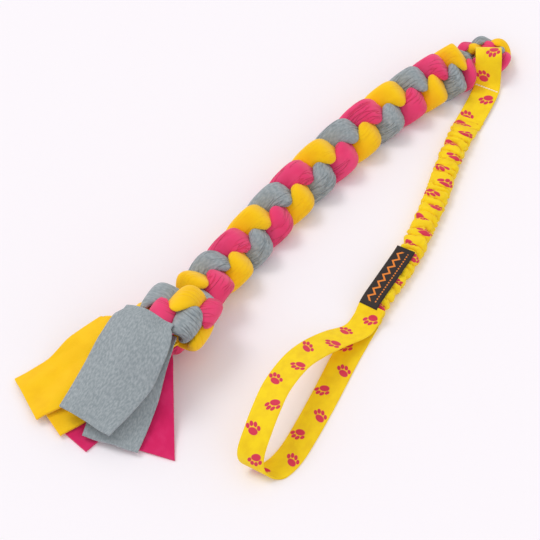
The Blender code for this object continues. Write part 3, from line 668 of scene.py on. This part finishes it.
def makeTail(index):
    tail = tails[index]
    colour, place, heading, length = (tail[key] for key in
                                      ("colour", "place", "heading", "length"))
    columns, rows = 26, 60
    distances = [mixed(-tailCut["back"], length, (i / rows) ** 1.2) for i in range(rows + 1)]

    def pointAt(u, row):
        along = distances[row] - tail["slant"] * u * max(distances[row] / length, 0) ** 2
        half, shift = tailShape(tail, along)
        belly = math.sin(math.pi * min(max(along / length, 0), 1) ** 0.65)
        shift += belly * (tail["belly"][0] * u - tail["belly"][1] * (1 - u))
        squared = smooth(2 * along / tail["spread"])
        across = (planDir(heading - 90) * squared
                  + planDir(body["bend"] + 90) * (1 - squared)).normalized()
        spot = tailRoot + along * planDir(heading) + (shift + half * (2 * u - 1)) * across
        inside = min(along, 0.02 * along) - (spot - tailRoot).dot(tailsOut)
        spot += max(inside, 0) * tailsOut        # no edge reaches back past the root's middle
        height = tailMiddle(index, spot)
        crown = tail["crown"] * (0.8 + 0.2 * smooth(1.6 * u))
        height += crown * (1 - min(max(along / tailCut["crownLength"], 0), 1)) ** 1.1
        height += tail["lift"] * smooth(along / length)
        ripple = noise.noise(Vector((u * 2.2, along / tailCut["waveLength"], index * 7.0)))
        height += tailCut["wave"] * ripple * smooth(along / (30 * mm))
        return atHeight(spot, max(height, tailCut["thickness"] / 2))

    piece = gridPiece(f"tail{colour.title()}{place.title()}", columns, distances, pointAt,
                      tail["width"])
    thicken(piece, tailCut["thickness"], tailCut["edge"])
    node = f"tail_{colour}_{place}"
    dress(piece, flatFleece[colour], None, f"fleece_{colour}", node)
    line = [pointAt(0.5, row) for row in range(rows + 1)]
    cutLength = sum((after - before).length for before, after in zip(line, line[1:]))
    flat = (tail["width"] + 0.6 * sum(tail["belly"]), cutLength)
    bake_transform(piece)


for index in range(len(tails)):
    makeTail(index)
print("tails laid")


# The handle lies along one route, from the bight to the hand loop

web = {"width": 25 * mm, "thickness": 1.6 * mm, "gap": 0.3 * mm, "edge": 0.35 * mm}
strap = {"eyeRadius": 12.4 * mm, "flat": 2.2 * mm, "alongLeg": 25.3 * mm, "offLeg": 2.5 * mm,
         "skew": -10.0, "run": 12 * mm, "bendLength": 20 * mm, "bend": -20.4,
         "length": 68 * mm, "seam": 24 * mm, "sway": 4 * mm, "swayLength": 160 * mm}
sleeve = {"length": 250 * mm, "width": 19.5 * mm, "height": 12 * mm, "endHeight": 4 * mm,
          "taper": 24 * mm, "ribs": 27, "ribDepth": 4.6 * mm, "puff": 1.6 * mm,
          "hidden": 6.5 * mm, "wall": 0.5 * mm, "squareness": 0.8, "uneven": 0.55, "wander": 0.5,
          "clothWidth": 50 * mm, "fullness": 1.25, "straight": 192 * mm,
          "bendLength": 25 * mm, "bend": -9.0, "after": 58 * mm}
loop = {"bendLength": 20 * mm, "bend": 7.5, "length": 190 * mm, "height": 44 * mm,
        "lean": 36 * mm, "lap": 12 * mm, "raised": (3.2 * mm, 2.0 * mm, 0)}
eyeAxis = legHeading + strap["skew"]
eyeMiddle = (legStart + strap["alongLeg"] * planDir(legHeading)
             + strap["offLeg"] * planDir(legHeading + 90))
handleRoute = (eyeMiddle, eyeAxis - 90,
               ((strap["run"], 0), (strap["bendLength"], strap["bend"]), (sleeve["straight"], 0),
                (sleeve["bendLength"], sleeve["bend"]), (sleeve["after"], 0),
                (loop["bendLength"], loop["bend"])))
sleeveStart = strap["length"] + web["gap"]
sleeveEnd = sleeveStart + sleeve["length"]


def handleSpot(distance, height):
    spot, heading = planAt(handleRoute, distance)
    share = (distance - strap["seam"]) / strap["swayLength"]
    swayed = strap["sway"] * math.sin(math.pi * min(max(share, 0), 1)) ** 2
    return atHeight(spot, height) + swayed * planDir(heading - 90), heading


def curveThrough(knots, perSpan):        # a smooth curve through given points
    curve = []
    for i in range(len(knots) - 1):
        a, b, c, d = (knots[min(max(i + k, 0), len(knots) - 1)] for k in (-1, 0, 1, 2))
        for step in range(perSpan):
            t = step / perSpan
            curve.append(0.5 * (2 * b + (c - a) * t + (2 * a - 5 * b + 4 * c - d) * t * t
                                + (3 * b - a - 3 * c + d) * t ** 3))
    curve.append(knots[-1])
    return curve


def bandPiece(name, points, width, thickness, edge):
    # A flat strap whose middle follows the points; each also gives its width's direction.
    distances = [0.0]
    for (spot, turn), (following, nextTurn) in zip(points, points[1:]):
        distances.append(distances[-1] + (following - spot).length)
    piece = gridPiece(name, 10, distances,
                      lambda u, row: points[row][0] + (u - 0.5) * width * planDir(points[row][1]),
                      width)
    thicken(piece, thickness, edge)
    return piece, distances[-1]


def strapPath():
    # From the short end under the seam, back round the eye, and along the top to the sleeve.
    middle = strap["eyeRadius"] + web["thickness"] / 2
    eyeHeight = strap["eyeRadius"] + web["thickness"]
    over = web["thickness"] * 1.5 + web["gap"]
    path = [(mixed(strap["seam"] + 1.6 * mm, 0, i / 12), web["thickness"] / 2)
            for i in range(12)]
    for turn in range(0, 181, 6):
        path.append((-middle * math.sin(math.radians(turn)),
                     eyeHeight - middle * math.cos(math.radians(turn))))
    high = path[-1][1]
    path.append((strap["flat"], high))
    landing = strap["seam"] - 3 * mm
    for i in range(1, 21):
        path.append((mixed(strap["flat"], landing, i / 20), mixed(high, over, smooth(i / 20))))
    path += [(mixed(landing, strap["length"] + 6 * mm, i / 20), over) for i in range(1, 21)]
    return path, over


def makeStrap():
    path, over = strapPath()
    points = []
    for distance, height in path:
        spot, heading = handleSpot(distance, height)
        points.append((spot, heading + 90))
    piece, length = bandPiece("strapEye", points, web["width"], web["thickness"], web["edge"])
    dress(piece, webbingCloth, "handle", "printed_webbing", "strap_eye")
    return over + web["thickness"] / 2


seam = {"stitches": 9, "length": 2.9 * mm, "width": 1.5 * mm, "height": 1.0 * mm,
        "inset": 2 * mm, "slant": 5 * mm, "above": 0.2 * mm}


def makeSeam(surface):
    # A slanted row of stitches, each a short rounded bar that dips into the webbing.
    bm = bmesh.new()
    spot, heading = handleSpot(strap["seam"], surface + seam["above"])
    across = web["width"] - seam["inset"]
    turned = Matrix.Rotation(math.radians(heading + 90), 4, "Z")
    shaped = Matrix.Diagonal((seam["length"] / 2, seam["width"] / 2, seam["height"] / 2, 1))
    for i in range(seam["stitches"]):
        share = (i + 0.5) / seam["stitches"] - 0.5
        place = spot + share * (across * planDir(heading + 90) + seam["slant"] * planDir(heading))
        bmesh.ops.create_icosphere(bm, subdivisions=2, radius=1,
                                   matrix=Matrix.Translation(place) @ turned @ shaped)
    piece = meshObject("eyeSeam", bm)
    dress(piece, sewingThread, "handle", "thread", "eye_seam")


strapTop = makeStrap()
makeSeam(strapTop)
print("strap folded round the bight")


# The gathered sleeve over the bungee

def sleeveSize(distance):        # half its width and half its height
    swell = smooth((distance - sleeveStart) / sleeve["taper"])
    shrink = smooth((sleeveEnd - distance) / sleeve["taper"])
    flat = web["thickness"] * 2 + web["gap"]
    high = mixed(flat, sleeve["height"], swell)
    high = mixed(sleeve["endHeight"], high, shrink)
    wide = mixed(web["width"], sleeve["width"], min(swell, shrink))
    return wide / 2, high / 2


def gatherAt(distance):        # counts the gathers, which are unevenly spaced
    place = (distance - sleeveStart) / sleeve["length"] * sleeve["ribs"]
    return place + sleeve["uneven"] * noise.noise(Vector((place * 0.6, 3.0, 0.0)))


def ruffle(distance, u):
    # Gathers: broad puffs between sharp grooves that wander a little round the tube.
    turn = 2 * math.pi * u
    x, y = math.cos(turn), math.sin(turn)
    place = gatherAt(distance)
    place += sleeve["wander"] * noise.noise(Vector((x * 0.9, y * 0.9, place * 0.7)))
    wave = abs(math.sin(math.pi * place))
    size = 0.75 + 0.5 * noise.noise(Vector((place * 0.9, 8.0, x)))
    fine = 0.25 * noise.noise(Vector((x * 3, y * 3, place * 2.6)))
    return 1 - (1 - wave ** 0.5) * size + fine


def makeSleeve():
    rows, columns = 330, 44
    start, end = sleeveStart - 4 * mm, sleeveEnd + 2 * mm
    places = [mixed(start, end, i / rows) for i in range(rows + 1)]
    distances = []
    for place in places:        # most of the extra cloth is hidden in the grooves
        turns = gatherAt(place)
        hidden = sleeve["hidden"] * (turns + math.sin(2 * math.pi * turns) / (2 * math.pi))
        distances.append(place - start + hidden)

    def pointAt(u, row):
        wide, high = sleeveSize(places[row])
        spot, heading = handleSpot(places[row], high)
        turn = 2 * math.pi * u - math.pi / 2
        c, s = math.cos(turn), math.sin(turn)
        full = smooth(high / (sleeve["height"] / 2))
        dip = sleeve["ribDepth"] * full * (1 - ruffle(places[row], u))
        side = math.copysign(abs(c) ** sleeve["squareness"], c)
        rise = math.copysign(abs(s) ** sleeve["squareness"], s)
        side *= wide + sleeve["puff"] * full - 1.2 * dip
        rise *= high + (sleeve["puff"] - 0.85 * dip) * full
        spot = spot + side * planDir(heading + 90) + rise * upward
        spot.z = max(spot.z, 0.05 * mm)        # just clear of the floor
        return spot

    # How much painted shade darkens the cloth in a groove, from 0 to 1.
    def paintedGrooveShadeAt(u, row):
        return smooth((0.62 - ruffle(places[row], u)) / 0.45)

    piece = gridPiece("gatheredSleeve", columns, distances, pointAt, sleeve["clothWidth"],
                      "openTube", paintedGrooveShadeAt)
    thicken(piece, sleeve["wall"], 0.1 * mm)
    dress(piece, webbingCloth, None, "printed_webbing", "gathered_sleeve")
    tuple(handleSpot(sleeveStart, 0)[0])
    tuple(handleSpot(sleeveEnd - labelCloth["length"], 0)[0])
    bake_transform(piece)


makeSleeve()
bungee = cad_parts["bungee_core"]
for slot in bungee.material_slots:
    slot.material = elastic
print("sleeve gathered over the bungee")


# Label and hand loop

loopRoute = (        # shares of length, lean and height, and the width's turn in degrees
    (0.08, 0.08, 0.12, -3.0), (0.20, 0.42, 0.36, -16.0), (0.33, 0.71, 0.62, -22.0),
    (0.46, 0.90, 0.83, -12.0), (0.63, 1.00, 0.98, 0.0), (0.76, 0.99, 0.98, 5.0),
    (0.88, 0.97, 0.82, 8.0), (0.965, 0.955, 0.56, 4.0), (0.99, 0.86, 0.27, -4.0),
    (0.97, 0.62, 0.05, -10.0), (0.93, 0.38, 0.00, -14.0), (0.83, 0.20, 0.00, -13.0),
    (0.66, 0.12, 0.00, -9.0), (0.45, 0.08, 0.00, -3.0), (0.22, 0.06, 0.00, 0.0),
    (0.012, 0.00, 0.00, 0.0))
label = {"inset": 2.6 * mm, "shift": 3.3 * mm, "above": 1.1 * mm, "thickness": 1.0 * mm,
         "edge": 0.2 * mm, "steps": 14}


def sleeveTop(distance):
    return 2 * sleeveSize(distance)[1]


def makeHandLoop():
    knots = []
    for i, raised in enumerate(loop["raised"]):        # the end that lies on the sleeve
        offset = loop["lap"] * (i / 2 - 1)
        height = sleeveTop(sleeveEnd + offset) + 2 * web["gap"] + web["thickness"] / 2 + raised
        spot, heading = handleSpot(sleeveEnd + offset, height)
        knots.append(Vector((*spot, heading + 90)))
    endHeading = planAt(handleRoute, sleeveEnd + loop["length"])[1]
    for share, lean, high, turn in loopRoute:
        spot, heading = handleSpot(sleeveEnd + web["gap"] + loop["length"] * share, 0)
        base = web["thickness"] / 2 + high * loop["height"]
        if share < 0.15 and high > 0:        # the upper leg starts over the lower one's end
            base = max(base, web["thickness"] * 1.5 + web["gap"])
        spot = spot + lean * loop["lean"] * planDir(endHeading - 90)
        knots.append(Vector((spot.x, spot.y, base, heading + 90 + turn)))
    points = [(Vector((x, y, max(z, web["thickness"] / 2))), turn)
              for x, y, z, turn in curveThrough(knots, 9)]
    piece, length = bandPiece("handLoop", points, web["width"], web["thickness"], web["edge"])
    dress(piece, webbingCloth, "grip", "printed_webbing", "hand_loop")


def makeLabel():
    root = sleeveEnd - loop["lap"] + label["inset"]
    step = labelCloth["length"] / label["steps"]
    knots = []
    for i in range(label["steps"] + 1):
        distance = root - step * i
        top = max(sleeveTop(distance + nearby) for nearby in (-step, 0, step))
        spot, heading = handleSpot(distance, top + sleeve["puff"] + label["above"])
        spot += label["shift"] * planDir(heading - 90)
        knots.append(Vector((*spot, heading + 90)))
    points = [(Vector((x, y, z)), turn) for x, y, z, turn in curveThrough(knots, 3)]
    piece, length = bandPiece("labelTab", points, labelCloth["width"], label["thickness"],
                              label["edge"])
    dress(piece, labelSatin, "grip", "woven_label", "label_tab")


makeHandLoop()
makeLabel()
print("label and hand loop made")


# Floor, light and camera

stage = {"floorHalf": 8, "floor": "FDF8FD", "world": 0.8, "sun": 0.75, "sunSpread": 25,
         "sunFrom": 100, "sunLean": 0.62}


def makeFloor():
    bm = bmesh.new()
    bmesh.ops.create_grid(bm, x_segments=1, y_segments=1, size=stage["floorHalf"])
    floor = meshObject("floor", bm)
    # Seamless paper backdrop: matt, nearly white.
    paper = newMaterial("backdropPaper", {"Roughness": 1.0, "Specular IOR Level": 0.0,
                                          "Base Color": toLinear(stage["floor"])})[0]
    floor.data.materials.append(paper)


def makeLight():
    world = bpy.data.worlds.new("softRoom")
    world.use_nodes = True
    background = world.node_tree.nodes["Background"]
    background.inputs["Color"].default_value = (1, 1, 1, 1)
    background.inputs["Strength"].default_value = stage["world"]
    bpy.context.scene.world = world
    key = bpy.data.lights.new("key", "SUN")
    key.energy = stage["sun"]
    key.angle = math.radians(stage["sunSpread"])
    lamp = bpy.data.objects.new("key", key)
    toLamp = (planDir(stage["sunFrom"]) * stage["sunLean"] + upward).normalized()
    lamp.rotation_euler = toLamp.to_track_quat("Z", "Y").to_euler()
    bpy.context.scene.collection.objects.link(lamp)


view = {"azimuth": -45.7, "elevation": 55.0, "distance": 3.0, "lens": 217.4, "sensor": 36,
        "lookAt": Vector((-42.28, 46.84, 0)) * mm}


def makeCamera():
    camera = bpy.data.cameras.new("camera")
    camera.lens = view["lens"]
    camera.sensor_width = view["sensor"]
    made = bpy.data.objects.new("camera", camera)
    side, rise = math.radians(view["azimuth"]), math.radians(view["elevation"])
    back = Vector((math.sin(side) * math.cos(rise), -math.cos(side) * math.cos(rise),
                   math.sin(rise)))
    right = Vector((math.cos(side), math.sin(side), 0))
    turn = Matrix((right, back.cross(right), back)).transposed().to_4x4()
    made.matrix_world = Matrix.Translation(view["lookAt"] + view["distance"] * back) @ turn
    bpy.context.scene.collection.objects.link(made)
    bpy.context.scene.camera = made


makeFloor()
makeLight()
makeCamera()
bpy.context.scene.view_settings.view_transform = "Standard"
print("floor, light and camera set")
